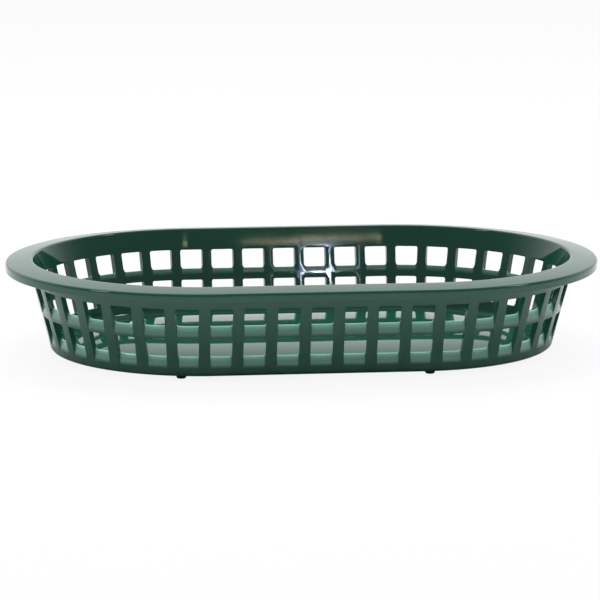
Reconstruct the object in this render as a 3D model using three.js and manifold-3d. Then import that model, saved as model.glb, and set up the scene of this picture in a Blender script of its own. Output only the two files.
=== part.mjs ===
import * as THREE from 'three';
import { mergeVertices } from 'three/addons/utils/BufferGeometryUtils.js';
import Module from 'manifold-3d';

// Moulded serving basket with an open lattice wall, in millimetres, +Z up.
// The plan is a stadium: two straight sides along X and two half-round ends.
// The origin is the middle of the footprint, on the surface that the feet stand on.

// Plan sizes
const rimLength = 266.7;
const rimWidth = 175.5;
const flangeWidth = 10.25;
const wallOutset = 0.9; // how far the outer wall face, carried up to the crest, lies outside it
const wallDraft = 0.265; // lean of the wall, inward for each millimetre down
const wallThickness = 2.9;

// Heights of the members, stacked from the table up
const footHeight = 1.7;
const baseRingHeight = 9.0;
const lowerOpeningHeight = 9.0;
const hoopHeight = 5.1;
const upperOpeningHeight = 8.6;
const bandHeight = 4.7;
const rimHeight = 4.8;

// Rim: a sloping flange with a turned-down lip
const flangeThickness = 2.2;
const flangeFall = 0.6;
const flangeFillet = 1.0;
const crestRound = 2.6;
const lipHeight = 5.1;
const lipThickness = 2.0;
const lipRound = 1.2;

// Lattice: upright ribs, and ledges that fall outward below each opening
const ribCount = 44;
const ribWidth = 5.0;
const ribSideDraft = 0.15; // narrowing of each flank for each millimetre of depth
const ledgeLand = 0.5;
const hoopLedgeFall = 4.7;
const hoopWeb = 1.0; // what the hoop keeps behind each rib
const baseLedgeFall = 5.1;
const openingTopSlant = 0.6;
const seatGap = 0.3;

// Floor: a crowned panel inside the flat sole of the base ring
const baseCornerReach = 2.3;
const baseCornerHeight = 2.2;
const gutterRound = 3.5;
const soleWidth = 6.0;
const floorThickness = 2.4;
const floorCrown = 5.6;
const crownPower = 4.8;

// Feet: four small pads near the tangent points of the ends, alike after a half turn
const footRadius = 2.4;
const footSideDraft = 0.15;
const footEdgeRound = 0.4;
const footInset = 1.3;
const farFootTurn = THREE.MathUtils.degToRad(13.5);
const nearFootTurn = THREE.MathUtils.degToRad(3);

// Facets
const arcSteps = 24;
const roundSteps = 4;
const footSides = 20;
const crownShares = [0, 0.3, 0.5, 0.65, 0.78, 0.9, 1];

// Levels and radii that follow from the sizes
const zSole = footHeight;
const zBaseTop = zSole + baseRingHeight;
const zHoopBottom = zBaseTop + lowerOpeningHeight;
const zHoopTop = zHoopBottom + hoopHeight;
const zBandBottom = zHoopTop + upperOpeningHeight;
const zSeam = zBandBottom + bandHeight;
const zCrest = zSeam + rimHeight;
const zFloorEdge = zSole + floorThickness;
const zCornerTop = zSole + baseCornerHeight;
const zGutterTop = zFloorEdge + gutterRound;

const endRadius = rimWidth / 2;
const straightHalf = (rimLength - rimWidth) / 2;
const crestRadius = endRadius - flangeWidth;
const wallOuter = (z) => crestRadius + wallOutset - wallDraft * (zCrest - z);
const wallInner = (z) => wallOuter(z) - wallThickness;
const soleOuterRadius = wallOuter(zSole) - baseCornerReach;
const soleInnerRadius = soleOuterRadius - soleWidth;
const floorRadius = soleInnerRadius - seatGap;

const wasm = await Module();
wasm.setup();

function mouldedPlastic() {
  return new THREE.MeshStandardMaterial({ color: 0x2c5245, roughness: 0.28, metalness: 0 });
}

const point = (r, z) => new THREE.Vector2(r, z);

// A quarter of an ellipse about a centre, from one angle to another, in the (r, z) plane
function quarterRound(centre, halfWidth, halfHeight, fromTurn, toTurn) {
  const points = [];
  for (let i = 0; i <= roundSteps; i++) {
    const turn = THREE.MathUtils.lerp(fromTurn, toTurn, i / roundSteps);
    points.push(point(centre.x + halfWidth * Math.cos(turn), centre.y + halfHeight * Math.sin(turn)));
  }
  return points;
}

// Sweep an (r, z) profile round the stadium, where r is the distance from the spine between the
// two end centres. The profile runs anticlockwise. An open profile starts and ends on the spine.
function sweepRoundStadium(profile, closed) {
  const positions = [];
  for (const end of [1, -1]) {
    for (let i = 0; i <= arcSteps; i++) {
      const turn = (i / arcSteps - 0.5) * Math.PI;
      for (const p of profile) {
        const x = end * (straightHalf + p.x * Math.cos(turn));
        const y = end * p.x * Math.sin(turn);
        positions.push(x, y, p.y);
      }
    }
  }
  const stations = 2 * (arcSteps + 1);
  const count = profile.length;
  const edges = closed ? count : count - 1;
  const corner = (i) => new THREE.Vector3().fromArray(positions, 3 * i);
  const indices = [];
  const addTriangle = (a, b, c) => {
    const area = new THREE.Triangle(corner(a), corner(b), corner(c)).getArea();
    if (area > 1e-6) indices.push(a, b, c);
  };
  for (let i = 0; i < stations; i++) {
    const here = i * count;
    const next = ((i + 1) % stations) * count;
    for (let j = 0; j < edges; j++) {
      const k = (j + 1) % count;
      addTriangle(here + j, next + j, next + k);
      addTriangle(here + j, next + k, here + k);
    }
  }
  const geometry = new THREE.BufferGeometry();
  geometry.setAttribute('position', new THREE.Float32BufferAttribute(positions, 3));
  geometry.setIndex(indices);
  geometry.computeVertexNormals();
  return geometry;
}

// Cut a curve off where it leaves the wall through the outer face
function clipAtOuterFace(points) {
  const depth = (p) => wallOuter(p.y) - p.x;
  const leaving = points.findIndex((p) => depth(p) < 1e-6);
  const before = points[leaving - 1];
  const after = points[leaving];
  const share = depth(before) / (depth(before) - depth(after));
  return [...points.slice(0, leaving), before.clone().lerp(after, share)];
}

// The rounded ledge on top of a hoop: a narrow land at the inner face, then a fall to the outer
// face. With a clearance, the curve is the seat of a rib that stands on the ledge.
function ledgeCurve(zTop, fall, clearance) {
  const land = wallInner(zTop) + ledgeLand;
  const reach = wallOuter(zTop - fall) - land;
  const points = [];
  for (let i = 0; i <= roundSteps; i++) {
    const turn = (i / roundSteps) * (Math.PI / 2);
    const normal = point(fall * Math.sin(turn), reach * Math.cos(turn)).normalize();
    const onLedge = point(land + reach * Math.sin(turn), zTop - fall * (1 - Math.cos(turn)));
    points.push(onLedge.addScaledVector(normal, clearance));
  }
  return clipAtOuterFace(points);
}

function rimFlange() {
  const zLip = zCrest - lipHeight;
  const zFlangeEdge = zCrest - flangeFall;
  const zUnder = zCrest - flangeThickness;
  const lipInner = endRadius - lipThickness;
  const zCrestStart = zCrest - crestRound;
  const crestReach = crestRadius - wallInner(zCrestStart);
  const lipCentre = point(endRadius - lipRound, zFlangeEdge - lipRound);
  const crestCentre = point(crestRadius, zCrestStart);
  return sweepRoundStadium([
    point(wallInner(zSeam), zSeam),
    point(wallOuter(zSeam), zSeam),
    point(wallOuter(zUnder - flangeFillet), zUnder - flangeFillet),
    point(wallOuter(zUnder) + flangeFillet, zUnder),
    point(lipInner, zFlangeEdge - flangeThickness),
    point(lipInner, zLip),
    point(endRadius, zLip),
    ...quarterRound(lipCentre, lipRound, lipRound, 0, Math.PI / 2),
    ...quarterRound(crestCentre, crestReach, crestRound, Math.PI / 2, Math.PI),
  ], true);
}

function upperBand() {
  return sweepRoundStadium([
    point(wallInner(zBandBottom), zBandBottom),
    point(wallOuter(zBandBottom - openingTopSlant), zBandBottom - openingTopSlant),
    point(wallOuter(zSeam), zSeam),
    point(wallInner(zSeam), zSeam),
  ], true);
}

function baseRing() {
  const soleEdge = point(soleOuterRadius, zCornerTop);
  const cornerWidth = wallOuter(zCornerTop) - soleOuterRadius;
  const gutterCentre = point(wallInner(zGutterTop) - gutterRound, zGutterTop);
  return sweepRoundStadium([
    point(soleInnerRadius, zSole),
    ...quarterRound(soleEdge, cornerWidth, baseCornerHeight, -Math.PI / 2, 0),
    ...ledgeCurve(zBaseTop, baseLedgeFall, 0).reverse(),
    point(wallInner(zBaseTop), zBaseTop),
    ...quarterRound(gutterCentre, gutterRound, gutterRound, 0, -Math.PI / 2),
    point(soleInnerRadius, zFloorEdge),
  ], true);
}

function floorPanel() {
  const crown = (share) => zFloorEdge + floorCrown * (1 - share ** crownPower);
  const top = crownShares.map((share) => point(share * floorRadius, crown(share)));
  const under = top.map((p) => point(p.x, p.y - floorThickness));
  return sweepRoundStadium([...under, ...top.reverse()], false);
}

// A piece of the wall that stands in one radial plane: an (r, z) outline given a width that
// narrows from the outer face inward. Local X points out of the basket.
function uprightFromOutline(outline, width) {
  const geometry = new THREE.ExtrudeGeometry(new THREE.Shape(outline), { depth: 1, bevelEnabled: false });
  const position = geometry.attributes.position;
  for (let i = 0; i < position.count; i++) {
    const depth = wallOuter(position.getY(i)) - position.getX(i);
    position.setZ(i, (position.getZ(i) - 0.5) * (width - 2 * ribSideDraft * depth));
  }
  geometry.rotateX(Math.PI / 2);
  geometry.computeVertexNormals();
  return geometry;
}

// One rib: it stands on the base ring's ledge, laps over the hoop's web and ends under the band
function wallRib() {
  const zTopInner = zBandBottom - seatGap;
  const zTopOuter = zTopInner - openingTopSlant;
  const zLapTop = zHoopTop + seatGap;
  const zLapBottom = zHoopBottom - seatGap;
  const lapDepth = hoopWeb + seatGap;
  const zLapBottomOuter = zLapBottom - openingTopSlant * (lapDepth / wallThickness);
  const zStand = zBaseTop + seatGap;
  return uprightFromOutline([
    point(wallInner(zStand), zStand),
    ...ledgeCurve(zBaseTop, baseLedgeFall, seatGap),
    point(wallOuter(zTopOuter), zTopOuter),
    point(wallInner(zTopInner), zTopInner),
    point(wallInner(zLapTop), zLapTop),
    point(wallInner(zLapTop) + lapDepth, zLapTop),
    point(wallInner(zLapBottomOuter) + lapDepth, zLapBottomOuter),
    point(wallInner(zLapBottom), zLapBottom),
  ], ribWidth);
}

// Where each rib stands: evenly spaced along the outer face at the hoop, from half a pitch right of
// the middle of the front side. The rear half of the loop is the front half turned half round.
function ribPlaces() {
  const radius = wallOuter((zHoopBottom + zHoopTop) / 2);
  const halfLoop = 2 * straightHalf + Math.PI * radius;
  const pitch = (2 * halfLoop) / ribCount;
  const places = [];
  for (let i = 0; i < ribCount; i++) {
    const along = (straightHalf + (i + 0.5) * pitch) % (2 * halfLoop);
    const side = along < halfLoop ? 1 : -1;
    const rest = along % halfLoop;
    const straight = Math.min(rest, 2 * straightHalf);
    places.push({
      x: side * (straight - straightHalf),
      turn: (rest - straight) / radius - (side * Math.PI) / 2,
    });
  }
  return places;
}

function asSolid(geometry) {
  const bare = geometry.clone();
  bare.deleteAttribute('normal');
  bare.deleteAttribute('uv');
  const merged = mergeVertices(bare, 1e-4);
  return new wasm.Manifold(new wasm.Mesh({
    numProp: 3,
    vertProperties: new Float32Array(merged.attributes.position.array),
    triVerts: new Uint32Array(merged.index.array),
  }));
}

function asGeometry(solid) {
  const mesh = solid.getMesh();
  const geometry = new THREE.BufferGeometry();
  geometry.setAttribute('position', new THREE.BufferAttribute(new Float32Array(mesh.vertProperties), 3));
  geometry.setIndex(new THREE.BufferAttribute(new Uint32Array(mesh.triVerts), 1));
  geometry.computeVertexNormals();
  return geometry;
}

// The hoop between the two rows of openings, with a notch in its outer side for every rib
function middleHoop(places) {
  const zOuterBottom = zHoopBottom - openingTopSlant;
  const ring = sweepRoundStadium([
    point(wallInner(zHoopBottom), zHoopBottom),
    point(wallOuter(zOuterBottom), zOuterBottom),
    ...ledgeCurve(zHoopTop, hoopLedgeFall, 0).reverse(),
    point(wallInner(zHoopTop), zHoopTop),
  ], true);
  const zLow = zOuterBottom - seatGap;
  const zHigh = zHoopTop + seatGap;
  const notch = uprightFromOutline([
    point(wallInner(zLow) + hoopWeb, zLow),
    point(wallOuter(zLow) + seatGap, zLow),
    point(wallOuter(zHigh) + seatGap, zHigh),
    point(wallInner(zHigh) + hoopWeb, zHigh),
  ], ribWidth + 2 * seatGap);
  let hoop = asSolid(ring);
  for (const place of places) {
    const placed = notch.clone().rotateZ(place.turn).translate(place.x, 0, 0);
    hoop = hoop.subtract(asSolid(placed));
  }
  return asGeometry(hoop);
}

function foot() {
  const tipRadius = footRadius - footSideDraft * footHeight;
  const pad = new THREE.LatheGeometry([
    point(0, 0),
    point(tipRadius - footEdgeRound, 0),
    point(tipRadius, footEdgeRound),
    point(footRadius, footHeight),
    point(0, footHeight),
  ], footSides);
  return pad.rotateX(Math.PI / 2);
}

const basket = new THREE.Group();

function addPart(name, geometry) {
  const part = new THREE.Mesh(geometry, mouldedPlastic());
  part.name = name;
  basket.add(part);
  return part;
}

const places = ribPlaces();
addPart('rim_flange', rimFlange());
addPart('upper_band', upperBand());
addPart('middle_hoop', middleHoop(places));
addPart('base_ring', baseRing());
addPart('floor_panel', floorPanel());

const ribGeometry = wallRib();
for (const [i, place] of places.entries()) {
  const rib = addPart(`wall_rib_${String(i + 1).padStart(2, '0')}`, ribGeometry);
  rib.position.x = place.x;
  rib.rotation.z = place.turn;
}

const footGeometry = foot();
const footReach = soleOuterRadius - footRadius - footInset;
for (const [depthName, sideY] of [['front', -1], ['rear', 1]]) {
  for (const [widthName, sideX] of [['left', -1], ['right', 1]]) {
    const pad = addPart(`foot_${depthName}_${widthName}`, footGeometry);
    const turn = sideX === sideY ? farFootTurn : nearFootTurn;
    pad.position.x = sideX * (straightHalf + footReach * Math.sin(turn));
    pad.position.y = sideY * footReach * Math.cos(turn);
  }
}

export default basket;
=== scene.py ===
import math

import bmesh
import bpy
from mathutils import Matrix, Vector


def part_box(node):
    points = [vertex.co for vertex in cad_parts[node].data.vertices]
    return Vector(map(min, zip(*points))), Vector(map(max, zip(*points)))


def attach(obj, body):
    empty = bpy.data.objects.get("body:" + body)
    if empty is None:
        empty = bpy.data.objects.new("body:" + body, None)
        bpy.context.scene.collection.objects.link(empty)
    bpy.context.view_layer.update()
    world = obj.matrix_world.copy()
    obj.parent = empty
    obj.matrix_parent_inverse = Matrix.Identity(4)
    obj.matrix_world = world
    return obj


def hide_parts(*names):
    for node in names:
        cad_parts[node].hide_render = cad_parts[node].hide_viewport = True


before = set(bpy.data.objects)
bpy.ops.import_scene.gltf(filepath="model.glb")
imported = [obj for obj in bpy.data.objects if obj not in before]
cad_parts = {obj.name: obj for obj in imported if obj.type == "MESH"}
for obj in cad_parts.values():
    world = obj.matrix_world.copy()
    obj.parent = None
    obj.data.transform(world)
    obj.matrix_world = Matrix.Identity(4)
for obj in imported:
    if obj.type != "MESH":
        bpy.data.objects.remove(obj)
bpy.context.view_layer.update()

# Moulded serving basket, in metres, in the frame of the CAD model.
# The plan is a stadium: two straight sides along X and two half-round ends. A place on it is given
# by its distance along the loop, its radius from the spine between the end centres, and its height.

MM = 0.001

# Plan and heights, read from the CAD model
rim_low, rim_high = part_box("rim_flange")
band_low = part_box("upper_band")[0]
hoop_low, hoop_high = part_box("middle_hoop")
base_low, base_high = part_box("base_ring")
floor_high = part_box("floor_panel")[1]
rib_names = sorted(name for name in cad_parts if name.startswith("wall_rib_"))
foot_names = sorted(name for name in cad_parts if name.startswith("foot_"))

rib_count = len(rib_names)
rim_radius = rim_high.y
straight_half = rim_high.x - rim_high.y
crest_height = rim_high.z
lip_foot = rim_low.z
sole_height = base_low.z

# Wall
flange_width = 10.25 * MM
wall_outset = 0.9 * MM  # how far the outer wall face, carried up to the crest, lies outside it
wall_draft = 0.265  # lean of the wall, inward for each metre down
wall_thickness = 2.9 * MM
crest_radius = rim_radius - flange_width

# Rim
flange_thickness = 2.2 * MM
flange_fall = 1.1 * MM
flange_fillet = 1.2 * MM
crest_round = 1.0 * MM
lip_thickness = 2.0 * MM
lip_round = 1.2 * MM
lip_fillet = 0.7 * MM
lip_edge_round = 0.5 * MM

# Lattice
rib_width = 5.0 * MM
rib_side_draft = 0.15  # narrowing of each flank for each metre of depth
ledge_land = 0.5 * MM  # flat top of a ledge at the inner face
hoop_ledge_fall = 4.7 * MM
base_ledge_fall = 5.1 * MM
ledge_steps = 6
opening_top_slant = 0.6 * MM
lower_corner = 1.4 * MM  # round of an opening's lower corners, at the inner face
upper_corner = 0.8 * MM
corner_at_outer_face = 0.5  # share of that round that is left at the outer face
corner_shares = (0.0, 0.3, 0.6, 1.0)  # where the lines of a corner lie along its round
band_margin = 1.2 * MM  # plain strip of the band above the upper openings

# Painted glow of the ledges: the light that their thin inner edges let through is painted into the base
# colour as a pale teal
thin_edge_power = 0.8  # how fast the glow dies away from the edge
painted_hoop_glow = 0.4  # share of it on the upper half of the hoop's inner face
glow_lines = 2  # lines off an opening's flank over which it comes up

# Floor
base_corner_reach = 2.3 * MM
base_corner_height = 2.2 * MM
gutter_round = 3.5 * MM
sole_width = 6.0 * MM
crown_margin = 1.0 * MM  # flat strip round the crown, above and below
floor_thickness = 2.4 * MM
crown_power = 4.8
crown_shares = (1.0, 0.98, 0.94, 0.88, 0.8, 0.7, 0.58, 0.44, 0.28, 0.1)

# Feet
foot_flare = 0.5 * MM
foot_tip_round = 0.6 * MM
foot_tip_inset = 0.3 * MM  # how much smaller the radius is at the tip
foot_side_lean = 8  # degrees
foot_sides = 40

# Softened edges
edge_softness = 0.2 * MM
edge_softness_steps = 2
sharp_edge_angle = 42  # degrees that two faces bend by, at least, to make an edge
flat_face_weight = 90  # how strongly the large faces keep their own shading

# Plastic, with the scales of its noises in patches for each metre
forest_green = (0.011, 0.09, 0.058)
# painted glow: a pale teal that stands in for light let through the ledges' thin edges, not the plastic's
# own colour
painted_glow_teal = (0.45, 0.9, 0.72)
tint_drift = 0.12
tint_patch_scale = 28
scuff_scale = 420
scuff_patch_scale = 60
scuff_start = 0.52  # level of the noise where a scuff begins
scuff_full = 0.75
wave_scale = 45
peel_scale = 700
peel_share = 0.02  # height of the fine peel against the wave's
skin_relief = 0.02 * MM

# Stage
table_reach = 3.0
table_shade = 0.9
table_white_share = 0.9  # how much of what the camera sees of the table is plain white
front_light = 0.22  # strength of the surroundings in front of the basket, 1 behind it
fade_start = -0.1  # where the fade between them starts and ends, as the Y of a direction
fade_end = 0.75
white = (1, 1, 1)
lamp_aim = Vector((0, 0, 0.02))
overhead_place = Vector((0, 0.4, 1.25))
side_lamp_azimuth = 75
side_lamp_elevation = 40
side_lamp_distance = 1.0
glint_lamp_distance = 1.75

# Places that follow from the sizes
base_top = base_high.z
hoop_top = hoop_high.z
base_corner_top = sole_height + base_corner_height
floor_edge = sole_height + floor_thickness
gutter_top = floor_edge + gutter_round
floor_crown = floor_high.z - floor_edge

# Columns of points in one pitch: a rib's middle and the lines of an opening on the lattice, and even
# steps on the rim and the floor. The picks are the columns that face those of a coarser ring.
opening_lines = 2 * len(corner_shares) + 1
fine_columns = opening_lines + 1
rim_columns = 4
floor_columns = 2
middle_line = 1 + len(corner_shares)
wall_picks = (0, middle_line - 1, middle_line, middle_line + 1)
floor_picks = (0, rim_columns // floor_columns)


def wall_outer(height):
    """Radius of the wall's outer face."""
    return crest_radius + wall_outset - wall_draft * (crest_height - height)


def wall_inner(height):
    """Radius of the wall's inner face."""
    return wall_outer(height) - wall_thickness


sole_outer = wall_outer(sole_height) - base_corner_reach
sole_inner = sole_outer - sole_width
hoop_radius = wall_outer((hoop_low.z + opening_top_slant + hoop_top) / 2)
half_loop = 2 * straight_half + math.pi * hoop_radius
pitch = 2 * half_loop / rib_count


def loop_point(along, radius, height):
    """A point from its distance along the loop, which starts at the middle of the front side."""
    travelled = (along + straight_half) % (2 * half_loop)
    side = 1 if travelled < half_loop else -1
    rest = travelled % half_loop
    straight = min(rest, 2 * straight_half)
    turn = (rest - straight) / hoop_radius - math.pi / 2
    x = straight - straight_half + radius * math.cos(turn)
    y = radius * math.sin(turn)
    return (side * x, side * y, height)


def rib_along(rib):
    """Where a rib's middle lies along the loop. An opening is at the middle of the front side."""
    return (rib + 0.5) * pitch


def flank_reach(rib, radius, half_width):
    """How far along the loop a rib's flank lies from the rib's middle."""
    on_end = (rib_along(rib) + straight_half) % half_loop > 2 * straight_half
    if on_end:
        return hoop_radius * math.asin(half_width / radius)
    return half_width


def opening_point(rib, line, radius, height, corner):
    """A point on one of the lines across the opening after a rib. Near the ribs the lines climb into
    a round corner, or drop into it where the corner is negative."""
    half_width = rib_width / 2 - rib_side_draft * (wall_outer(height) - radius)
    start = rib_along(rib) + flank_reach(rib, radius, half_width)
    end = rib_along(rib + 1) - flank_reach(rib + 1, radius, half_width)
    from_flank = min(line, opening_lines - 1 - line)
    if from_flank == len(corner_shares):
        return loop_point((start + end) / 2, radius, height)
    share = corner_shares[from_flank]
    offset = share * abs(corner)
    along = start + offset if line == from_flank else end - offset
    rise = corner * (1 - math.sqrt(1 - (1 - share) ** 2))
    return loop_point(along, radius + wall_draft * rise, height + rise)


def lattice_ring(radius, height, corner):
    """A ring through the openings' lines and the middles of the ribs."""
    points = []
    for rib in range(rib_count):
        points.append(loop_point(rib_along(rib), radius + wall_draft * corner, height + corner))
        for line in range(opening_lines):
            points.append(opening_point(rib, line, radius, height, corner))
    return points


def off_flank(line):
    """0 at an opening's flanks, 1 a short way off them."""
    return min(line, opening_lines - 1 - line, glow_lines) / glow_lines


def even_ring(radius, height, columns):
    """A ring with the same number of even steps in each pitch, starting at the first rib."""
    count = rib_count * columns
    return [loop_point((i / columns + 0.5) * pitch, radius, height) for i in range(count)]


def arc(centre, half_width, half_height, from_degrees, to_degrees, steps):
    """Points of an elliptic arc in the (radius, height) plane, with both ends."""
    centre_radius, centre_height = centre
    points = []
    for i in range(steps + 1):
        turn = math.radians(from_degrees + (to_degrees - from_degrees) * i / steps)
        radius = centre_radius + half_width * math.cos(turn)
        height = centre_height + half_height * math.sin(turn)
        points.append((radius, height))
    return points


def round_off(centre, radius, from_degrees, to_degrees, steps):
    """Points of a circular arc in the (radius, height) plane, with both ends."""
    return arc(centre, radius, radius, from_degrees, to_degrees, steps)


class Skin:
    """Points and faces of the moulded shell while it is put together."""

    def __init__(self):
        self.points = []
        self.thin = []
        self.faces = []

    def ring(self, points, thin=None):
        """Add points, with the painted glow of the thin edge at each, and give back their numbers."""
        first = len(self.points)
        self.points.extend(points)
        self.thin.extend(thin or [0.0] * len(points))
        return list(range(first, len(self.points)))

    def ring_between(self, lower, upper):
        """A ring half way between two rings."""
        pairs = [(Vector(self.points[i]), Vector(self.points[j])) for i, j in zip(lower, upper)]
        return self.ring([tuple((low + high) / 2) for low, high in pairs])

    def rings(self, profile, columns):
        """A ring for each (radius, height) of a profile, joined in that order."""
        made = [self.ring(even_ring(radius, height, columns)) for radius, height in profile]
        for lower, upper in zip(made, made[1:]):
            self.join(lower, upper)
        return made

    def join(self, lower, upper):
        """Faces between two rings with the same number of points."""
        count = len(lower)
        for i in range(count):
            j = (i + 1) % count
            self.faces.append((lower[i], lower[j], upper[j], upper[i]))

    def join_fewer(self, many, few, picks):
        """Faces between a ring and one with fewer points. The picks are the points, within one
        pitch of the first ring, that the second ring's points face."""
        per_pitch = len(many) // rib_count
        starts = [rib * per_pitch + pick for rib in range(rib_count) for pick in picks]
        for i, start in enumerate(starts):
            end = starts[i + 1] if i + 1 < len(starts) else len(many) + starts[0]
            edge = [many[step % len(many)] for step in range(start, end + 1)]
            self.faces.append((*edge, few[(i + 1) % len(few)], few[i]))

    def rib_faces(self, lower, upper):
        """The faces of the ribs between two lattice rings, with the openings left out."""
        for rib in range(rib_count):
            middle = rib * fine_columns
            for i, j in ((middle - 1, middle), (middle, middle + 1)):
                self.faces.append((lower[i], lower[j], upper[j], upper[i]))

    def openings(self, outer_low, ledge, inner_low, inner_high, outer_high):
        """The four sides of each opening in a row: ledge, two flanks and slanted top."""
        ledge_end = len(ledge) + 1  # a column's point at the inner face, with the opening above it
        for rib in range(rib_count):
            columns = []
            for line in range(opening_lines):
                at = rib * fine_columns + 1 + line
                across = []
                # the painted glow of the ledge's thin edge, faded off the flanks
                for thin, *place in ledge:
                    across += self.ring([opening_point(rib, line, *place)], [thin * off_flank(line)])
                columns.append([outer_low[at], *across, inner_low[at], inner_high[at], outer_high[at]])
            for left, right in zip(columns, columns[1:]):
                for i in range(len(left) - 1):
                    if i != ledge_end:
                        self.faces.append((left[i], right[i], right[i + 1], left[i + 1]))
            self.faces.append(tuple(columns[0]))
            self.faces.append(tuple(columns[-1]))

    def close(self, ring):
        """Close the middle of the floor with strips from side to side, starting at the right end."""
        count = len(ring)
        right_end = rib_count // 2 - 1
        for i in range(right_end, right_end + count // 2):
            pair = [i, i + 1, 2 * right_end - i - 1, 2 * right_end - i]
            corners = [ring[j % count] for j in pair]
            self.faces.append(tuple(dict.fromkeys(corners)))


def ledge_curve(top, fall):
    """Places on the rounded ledge below an opening, from the outer face to the inner face: the painted
    glow of the thin edge there, the radius and height, and the round that the opening's corner has there."""
    land = wall_inner(top) + ledge_land
    reach = wall_outer(top - fall) - land
    places = []
    for i in range(1, ledge_steps + 1):
        turn = (1 - i / ledge_steps) * math.pi / 2
        inward = i / (ledge_steps + 1)
        share = corner_at_outer_face + (1 - corner_at_outer_face) * inward
        radius = land + reach * math.sin(turn)
        height = top - fall * (1 - math.cos(turn))
        places.append((inward ** thin_edge_power, radius, height, share * lower_corner))
    return places


def rim_profile():
    """The rim from the wall's outer face, round the lip and over the crest, to the inner face."""
    under = crest_height - flange_thickness
    edge = crest_height - flange_fall
    slope = math.degrees(math.atan(flange_fall / (flange_width - lip_round)))
    fillet_foot = wall_outer(under - flange_fillet)
    lip_inner = rim_radius - lip_thickness
    lip_root = edge - flange_thickness
    lean = math.atan(wall_draft)
    crest_start = crest_height - crest_round
    crest_middle = wall_inner(crest_start + crest_round * math.sin(lean)) + crest_round * math.cos(lean)
    lip_low = lip_foot + lip_edge_round
    outer_start = band_low.z + band_margin
    inner_end = outer_start + opening_top_slant
    return [
        (wall_outer(outer_start), outer_start),
        *round_off((fillet_foot + flange_fillet, under - flange_fillet), flange_fillet, 180, 90, steps=4),
        *round_off((lip_inner - lip_fillet, lip_root - lip_fillet), lip_fillet, 90, 0, steps=3),
        *round_off((lip_inner + lip_edge_round, lip_low), lip_edge_round, 180, 270, steps=3),
        *round_off((rim_radius - lip_edge_round, lip_low), lip_edge_round, 270, 360, steps=3),
        *round_off((rim_radius - lip_round, edge - lip_round), lip_round, 0, 90 - slope, steps=5),
        ((crest_radius + rim_radius) / 2, crest_height - flange_fall / 2),
        (crest_radius, crest_height),
        *round_off((crest_middle, crest_start), crest_round, 90, 180 - math.degrees(lean), steps=6),
        (wall_inner(inner_end), inner_end),
    ]


def crowned_floor(drop):
    """Places on the floor from its edge inward, a drop below its upper face."""
    places = []
    for share in crown_shares:
        height = floor_edge + floor_crown * (1 - share ** crown_power)
        places.append((share * sole_inner, height - drop))
    return places


def moulded_shell():
    """The whole moulding as one closed skin: floor, base, lattice wall and rim."""
    skin = Skin()
    base_outer = base_top - base_ledge_fall
    hoop_outer = hoop_top - hoop_ledge_fall
    corner_width = wall_outer(base_corner_top) - sole_outer
    gutter_centre = (wall_inner(gutter_top) - gutter_round, gutter_top)
    crown_edge = sole_inner + crown_margin
    outer_lower = lower_corner * corner_at_outer_face
    outer_upper = upper_corner * corner_at_outer_face

    floor_under = skin.rings(reversed(crowned_floor(floor_thickness)), floor_columns)
    base_under = skin.rings([
        (crown_edge, sole_height),
        *arc((sole_outer, base_corner_top), corner_width, base_corner_height, -90, 0, steps=7),
    ], rim_columns)
    skin.join_fewer(base_under[0], floor_under[-1], floor_picks)
    skin.close(floor_under[0])

    def outer_ring(height, corner):
        return skin.ring(lattice_ring(wall_outer(height), height, corner))

    def inner_ring(height, corner, thin=0.0):
        # painted glow of the thin edge, rising off the opening's flanks
        glow = [0.0, *(thin * off_flank(line) for line in range(opening_lines))]
        return skin.ring(lattice_ring(wall_inner(height), height, corner), glow * rib_count)

    outer_base_top = outer_ring(base_outer, outer_lower)
    outer_hoop_low = outer_ring(hoop_low.z, -outer_upper)
    outer_hoop_top = outer_ring(hoop_outer, outer_lower)
    outer_band_low = outer_ring(band_low.z, -outer_upper)
    inner_base_top = inner_ring(base_top, lower_corner)
    inner_hoop_low = inner_ring(hoop_low.z + opening_top_slant, -upper_corner)
    inner_hoop_top = inner_ring(hoop_top, lower_corner, painted_hoop_glow)
    inner_hoop_middle = skin.ring_between(inner_hoop_low, inner_hoop_top)
    inner_band_low = inner_ring(band_low.z + opening_top_slant, -upper_corner)

    skin.rib_faces(outer_base_top, outer_hoop_low)
    skin.join(outer_hoop_low, outer_hoop_top)
    skin.rib_faces(outer_hoop_top, outer_band_low)
    skin.rib_faces(inner_base_top, inner_hoop_low)
    skin.join(inner_hoop_low, inner_hoop_middle)
    skin.join(inner_hoop_middle, inner_hoop_top)
    skin.rib_faces(inner_hoop_top, inner_band_low)
    base_ledge = ledge_curve(base_top, base_ledge_fall)
    hoop_ledge = ledge_curve(hoop_top, hoop_ledge_fall)
    skin.openings(outer_base_top, base_ledge, inner_base_top, inner_hoop_low, outer_hoop_low)
    skin.openings(outer_hoop_top, hoop_ledge, inner_hoop_top, inner_band_low, outer_band_low)

    skin.join_fewer(outer_base_top, base_under[-1], wall_picks)
    rim = skin.rings(rim_profile(), rim_columns)
    skin.join_fewer(outer_band_low, rim[0], wall_picks)
    skin.join_fewer(inner_band_low, rim[-1], wall_picks)

    gutter = skin.rings([
        *round_off(gutter_centre, gutter_round, 0, -90, steps=6),
        (crown_edge, floor_edge),
    ], rim_columns)
    skin.join_fewer(inner_base_top, gutter[0], wall_picks)
    floor_top = skin.rings(crowned_floor(0), floor_columns)
    skin.join_fewer(gutter[-1], floor_top[0], floor_picks)
    skin.close(floor_top[-1])
    return skin


def mesh_object(name, points, faces, material):
    """A smooth-shaded object with its faces turned outward."""
    mesh = bpy.data.meshes.new(name)
    mesh.from_pydata(points, [], faces)
    shape = bmesh.new()
    shape.from_mesh(mesh)
    bmesh.ops.recalc_face_normals(shape, faces=shape.faces)
    for face in shape.faces:
        face.smooth = True
    shape.to_mesh(mesh)
    shape.free()
    mesh.materials.append(material)
    piece = bpy.data.objects.new(name, mesh)
    bpy.context.scene.collection.objects.link(piece)
    return piece


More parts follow.
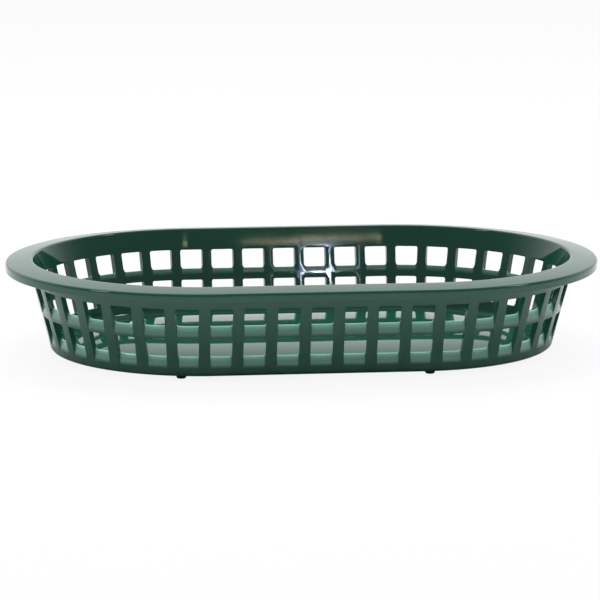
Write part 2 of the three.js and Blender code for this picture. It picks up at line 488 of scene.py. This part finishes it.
def soften_edges(piece):
    """Break the sharp edges and keep the faces between them flat."""
    bevel = piece.modifiers.new("edge_softness", "BEVEL")
    bevel.width = edge_softness
    bevel.segments = edge_softness_steps
    bevel.limit_method = "ANGLE"
    bevel.angle_limit = math.radians(sharp_edge_angle)
    bevel.use_clamp_overlap = False
    weighted = piece.modifiers.new("flat_faces", "WEIGHTED_NORMAL")
    weighted.weight = flat_face_weight


def stand_foot(name, material):
    """A foot turned about its own axis: a rounded tip, a leaning side and a flare into the sole."""
    low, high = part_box(name)
    middle = (low + high) / 2
    radius = (high.x - low.x) / 2
    tip_centre = (radius - foot_tip_inset - foot_tip_round, low.z + foot_tip_round)
    flare_centre = (radius + foot_flare, high.z - foot_flare)
    profile = [
        *round_off(tip_centre, foot_tip_round, -90, -foot_side_lean, steps=5),
        *round_off(flare_centre, foot_flare, 180, 90, steps=4),
    ]
    points = []
    for ring_radius, height in profile:
        for i in range(foot_sides):
            turn = 2 * math.pi * i / foot_sides
            x = middle.x + ring_radius * math.cos(turn)
            y = middle.y + ring_radius * math.sin(turn)
            points.append((x, y, height))
    top_ring = len(points) - foot_sides
    faces = [tuple(range(foot_sides)), tuple(range(top_ring, len(points)))]
    for below in range(0, top_ring, foot_sides):
        above = below + foot_sides
        for i in range(foot_sides):
            j = (i + 1) % foot_sides
            faces.append((below + i, below + j, above + j, above + i))
    return mesh_object(name.replace("foot", "stand_foot"), points, faces, material)


def new_material(name):
    """An empty node material, its node tree and its output node."""
    material = bpy.data.materials.new(name)
    material.use_nodes = True
    nodes = material.node_tree.nodes
    nodes.clear()
    return material, material.node_tree, nodes.new("ShaderNodeOutputMaterial")


def moulded_skin_group():
    """What a polished mould leaves on plastic: a slight drift of tint, fine scuffs, a faint waviness and
    a finer peel. On top of these, a painted glow turns the base colour pale teal along the thin ledge
    edges."""
    group = bpy.data.node_groups.new("moulded_skin", "ShaderNodeTree")
    face = group.interface
    face.new_socket("Tint", in_out="INPUT", socket_type="NodeSocketColor")
    face.new_socket("Painted Glow Tint", in_out="INPUT", socket_type="NodeSocketColor")
    face.new_socket("Tint Drift", in_out="INPUT", socket_type="NodeSocketFloat")
    face.new_socket("Polish", in_out="INPUT", socket_type="NodeSocketFloat")
    face.new_socket("Scuffing", in_out="INPUT", socket_type="NodeSocketFloat")
    face.new_socket("Colour", in_out="OUTPUT", socket_type="NodeSocketColor")
    face.new_socket("Roughness", in_out="OUTPUT", socket_type="NodeSocketFloat")
    face.new_socket("Relief", in_out="OUTPUT", socket_type="NodeSocketFloat")
    nodes = group.nodes
    links = group.links
    given = nodes.new("NodeGroupInput")
    result = nodes.new("NodeGroupOutput")
    place = nodes.new("ShaderNodeTexCoord")

    def noise(scale, detail):
        texture = nodes.new("ShaderNodeTexNoise")
        texture.inputs["Scale"].default_value = scale
        texture.inputs["Detail"].default_value = detail
        links.new(place.outputs["Object"], texture.inputs["Vector"])
        return texture.outputs["Fac"]

    def maths(operation, first, second):
        step = nodes.new("ShaderNodeMath")
        step.operation = operation
        for socket, value in zip(step.inputs, (first, second)):
            if isinstance(value, (int, float)):
                socket.default_value = value
            else:
                links.new(value, socket)
        return step.outputs["Value"]

    noise_mean = 0.5
    patches = maths("SUBTRACT", noise(tint_patch_scale, detail=2), noise_mean)
    drift = maths("MULTIPLY", patches, given.outputs["Tint Drift"])
    # painted glow: the base colour turns pale teal along the thin ledge edges, standing in for light let
    # through them
    painted_edge_glow = nodes.new("ShaderNodeAttribute")
    painted_edge_glow.attribute_name = "painted_edge_glow"
    glow = nodes.new("ShaderNodeMixRGB")
    links.new(painted_edge_glow.outputs["Fac"], glow.inputs["Fac"])
    links.new(given.outputs["Tint"], glow.inputs["Color1"])
    links.new(given.outputs["Painted Glow Tint"], glow.inputs["Color2"])
    shade = nodes.new("ShaderNodeHueSaturation")
    links.new(glow.outputs["Color"], shade.inputs["Color"])
    links.new(maths("ADD", drift, 1.0), shade.inputs["Value"])
    links.new(shade.outputs["Color"], result.inputs["Colour"])

    rubbed = nodes.new("ShaderNodeMapRange")
    rubbed.inputs["From Min"].default_value = scuff_start
    rubbed.inputs["From Max"].default_value = scuff_full
    links.new(noise(scuff_scale, detail=4), rubbed.inputs["Value"])
    patchy = maths("MULTIPLY", rubbed.outputs["Result"], noise(scuff_patch_scale, detail=2))
    scuffs = maths("MULTIPLY", patchy, given.outputs["Scuffing"])
    links.new(maths("ADD", given.outputs["Polish"], scuffs), result.inputs["Roughness"])

    wave = noise(wave_scale, detail=1)
    peel = maths("MULTIPLY", noise(peel_scale, detail=2), peel_share)
    links.new(maths("ADD", wave, peel), result.inputs["Relief"])
    return group


def green_plastic(name, skin_group, polish, scuffing):
    """Green polypropylene with the moulded skin. Polish is its roughness where nothing has rubbed it."""
    material, tree, output = new_material(name)
    shader = tree.nodes.new("ShaderNodeBsdfPrincipled")
    shader.inputs["IOR"].default_value = 1.5
    skin = tree.nodes.new("ShaderNodeGroup")
    skin.node_tree = skin_group
    skin.inputs["Tint"].default_value = (*forest_green, 1)
    # the pale teal of the painted glow along the thin ledge edges
    skin.inputs["Painted Glow Tint"].default_value = (*painted_glow_teal, 1)
    skin.inputs["Tint Drift"].default_value = tint_drift
    skin.inputs["Polish"].default_value = polish
    skin.inputs["Scuffing"].default_value = scuffing
    bump = tree.nodes.new("ShaderNodeBump")
    bump.inputs["Strength"].default_value = 1
    bump.inputs["Distance"].default_value = skin_relief
    tree.links.new(skin.outputs["Colour"], shader.inputs["Base Color"])
    tree.links.new(skin.outputs["Roughness"], shader.inputs["Roughness"])
    tree.links.new(skin.outputs["Relief"], bump.inputs["Height"])
    tree.links.new(bump.outputs["Normal"], shader.inputs["Normal"])
    tree.links.new(shader.outputs["BSDF"], output.inputs["Surface"])
    return material


def pale_table():
    """A white table that keeps the basket's shadow and fades into the white surroundings. It is clear
    from below, so that the underside shows there."""
    material, tree, output = new_material("pale_table")
    top = tree.nodes.new("ShaderNodeBsdfDiffuse")
    top.inputs["Color"].default_value = (table_shade, table_shade, table_shade, 1)
    plain_white = tree.nodes.new("ShaderNodeEmission")
    plain_white.inputs["Strength"].default_value = 1
    ray = tree.nodes.new("ShaderNodeLightPath")
    share = tree.nodes.new("ShaderNodeMath")
    share.operation = "MULTIPLY"
    share.inputs[1].default_value = table_white_share
    mix = tree.nodes.new("ShaderNodeMixShader")
    side = tree.nodes.new("ShaderNodeNewGeometry")
    from_below = tree.nodes.new("ShaderNodeMath")
    from_below.operation = "MAXIMUM"
    from_below.use_clamp = True
    clear = tree.nodes.new("ShaderNodeBsdfTransparent")
    seen_through = tree.nodes.new("ShaderNodeMixShader")
    tree.links.new(ray.outputs["Is Camera Ray"], share.inputs[0])
    tree.links.new(share.outputs["Value"], mix.inputs["Fac"])
    tree.links.new(top.outputs["BSDF"], mix.inputs[1])
    tree.links.new(plain_white.outputs["Emission"], mix.inputs[2])
    tree.links.new(side.outputs["Backfacing"], from_below.inputs[0])
    tree.links.new(ray.outputs["Transparent Depth"], from_below.inputs[1])
    tree.links.new(from_below.outputs["Value"], seen_through.inputs["Fac"])
    tree.links.new(mix.outputs["Shader"], seen_through.inputs[1])
    tree.links.new(clear.outputs["BSDF"], seen_through.inputs[2])
    tree.links.new(seen_through.outputs["Shader"], output.inputs["Surface"])
    far = table_reach
    corners = [(-far, -far, 0), (far, -far, 0), (far, far, 0), (-far, far, 0)]
    table = mesh_object("table", corners, [(0, 1, 2, 3)], material)


def white_surroundings():
    """White for the camera; for everything else bright behind the basket and dim in front of it."""
    world = bpy.data.worlds.new("surroundings")
    bpy.context.scene.world = world
    world.use_nodes = True
    tree = world.node_tree
    tree.nodes.clear()
    output = tree.nodes.new("ShaderNodeOutputWorld")
    seen = tree.nodes.new("ShaderNodeBackground")
    seen.inputs["Strength"].default_value = 1
    seen.inputs["Color"].default_value = (*white, 1)
    studio = tree.nodes.new("ShaderNodeBackground")
    studio.inputs["Color"].default_value = (*white, 1)
    place = tree.nodes.new("ShaderNodeTexCoord")
    split = tree.nodes.new("ShaderNodeSeparateXYZ")
    fade = tree.nodes.new("ShaderNodeMapRange")
    fade.interpolation_type = "SMOOTHSTEP"
    fade.inputs["From Min"].default_value = fade_start
    fade.inputs["From Max"].default_value = fade_end
    fade.inputs["To Min"].default_value = front_light
    fade.inputs["To Max"].default_value = 1.0
    ray = tree.nodes.new("ShaderNodeLightPath")
    mix = tree.nodes.new("ShaderNodeMixShader")
    tree.links.new(place.outputs["Generated"], split.inputs["Vector"])
    tree.links.new(split.outputs["Y"], fade.inputs["Value"])
    tree.links.new(fade.outputs["Result"], studio.inputs["Strength"])
    tree.links.new(ray.outputs["Is Camera Ray"], mix.inputs["Fac"])
    tree.links.new(studio.outputs["Background"], mix.inputs[1])
    tree.links.new(seen.outputs["Background"], mix.inputs[2])
    tree.links.new(mix.outputs["Shader"], output.inputs["Surface"])


def direction(azimuth, elevation):
    """The unit vector towards a place seen at these angles. Azimuth 0 is in front of the basket."""
    a = math.radians(azimuth)
    e = math.radians(elevation)
    return Vector((math.sin(a) * math.cos(e), -math.cos(a) * math.cos(e), math.sin(e)))


def aim(thing, target):
    """Turn a camera or a lamp so that it looks at the target."""
    thing.rotation_euler = (target - thing.location).to_track_quat("-Z", "Y").to_euler()


def panel_lamp(name, place, target, width, height, radiance, tint=white, beam=None):
    """A flat lamp of a given radiance, where 1 is as bright as the white surroundings. A beam, in
    degrees, narrows it to a cone that has this radiance along its axis."""
    data = bpy.data.lights.new(name, "AREA")
    data.shape = "RECTANGLE"
    data.size = width
    data.size_y = height
    data.energy = radiance * math.pi * width * height
    data.color = tint
    if beam:
        data.spread = math.radians(beam)
        data.energy *= (data.spread / 2) ** 2 / 3
    lamp = bpy.data.objects.new(name, data)
    bpy.context.scene.collection.objects.link(lamp)
    lamp.location = place
    lamp.visible_camera = False
    aim(lamp, target)
    return lamp


def glint_lamp(name, spot, azimuth, elevation, width, height, radiance, tint, beam):
    """A small far lamp that lights only a spot of the rear wall, which reflects it to the camera."""
    target = Vector(spot)
    place = target + glint_lamp_distance * direction(azimuth, elevation)
    panel_lamp(name, place, target, width, height, radiance, tint, beam)


def studio_lamps():
    """A soft panel overhead, a lamp at each side and the lamps that glint on the rear wall."""
    overhead = panel_lamp("overhead_panel", overhead_place, lamp_aim, width=1.2, height=1.2, radiance=3.6)
    overhead.visible_glossy = False
    for side, azimuth in (("left", -side_lamp_azimuth), ("right", side_lamp_azimuth)):
        place = lamp_aim + side_lamp_distance * direction(azimuth, side_lamp_elevation)
        panel_lamp(f"{side}_lamp", place, lamp_aim, width=0.15, height=0.15, radiance=12)
    glint_lamp(
        "flash_glow", spot=(0.016, 0.0712, 0.024), azimuth=7.45, elevation=19.44,
        width=0.046, height=0.04, radiance=10, tint=(0.5, 0.6, 1), beam=1.2,
    )
    glint_lamp(
        "flash", spot=(0.0175, 0.0712, 0.022), azimuth=7.5, elevation=19.35,
        width=0.014, height=0.026, radiance=150, tint=(0.7, 0.82, 1), beam=1.0,
    )
    glint_lamp(
        "warm_strip", spot=(0.0134, 0.0745, 0.0385), azimuth=7.4, elevation=19.88,
        width=0.138, height=0.0065, radiance=9, tint=(1, 0.88, 0.55), beam=4,
    )


def photo_camera():
    """The camera at the photograph's viewing angle, on a long lens."""
    target = Vector((0, 0, 0.0175))
    azimuth = -6.883
    elevation = 10.774
    distance = 1.5872
    roll = math.radians(0.1)
    aim_above = 4.478 * MM
    aim_left = 1.01 * MM
    data = bpy.data.cameras.new("photo_camera")
    data.sensor_width = 36
    data.lens = 211.0
    camera = bpy.data.objects.new("photo_camera", data)
    bpy.context.scene.collection.objects.link(camera)
    back = direction(azimuth, elevation)
    right = Vector((math.cos(math.radians(azimuth)), math.sin(math.radians(azimuth)), 0))
    up = back.cross(right)
    camera.location = target + distance * back
    aim(camera, target + aim_above * up - aim_left * right)
    camera.rotation_euler.rotate_axis("Z", roll)
    bpy.context.scene.camera = camera


bpy.context.scene.view_settings.view_transform = "Standard"

skin_group = moulded_skin_group()
gloss_plastic = green_plastic("basket_plastic_gloss", skin_group, polish=0.04, scuffing=0.1)
foot_plastic = green_plastic("foot_plastic_worn", skin_group, polish=0.3, scuffing=0.4)

shell_skin = moulded_shell()
shell = mesh_object("basket_shell", shell_skin.points, shell_skin.faces, gloss_plastic)
# painted glow of the thin ledge edges, stored on the points for the base colour
painted_glow_layer = shell.data.attributes.new("painted_edge_glow", "FLOAT", "POINT")
painted_glow_layer.data.foreach_set("value", shell_skin.thin)
soften_edges(shell)
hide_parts("rim_flange", "upper_band", "middle_hoop", "base_ring", "floor_panel", *rib_names)
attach(shell, "root")

for foot_name in foot_names:
    foot = stand_foot(foot_name, foot_plastic)
    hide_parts(foot_name)
    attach(foot, "root")

pale_table()
white_surroundings()
studio_lamps()
photo_camera()
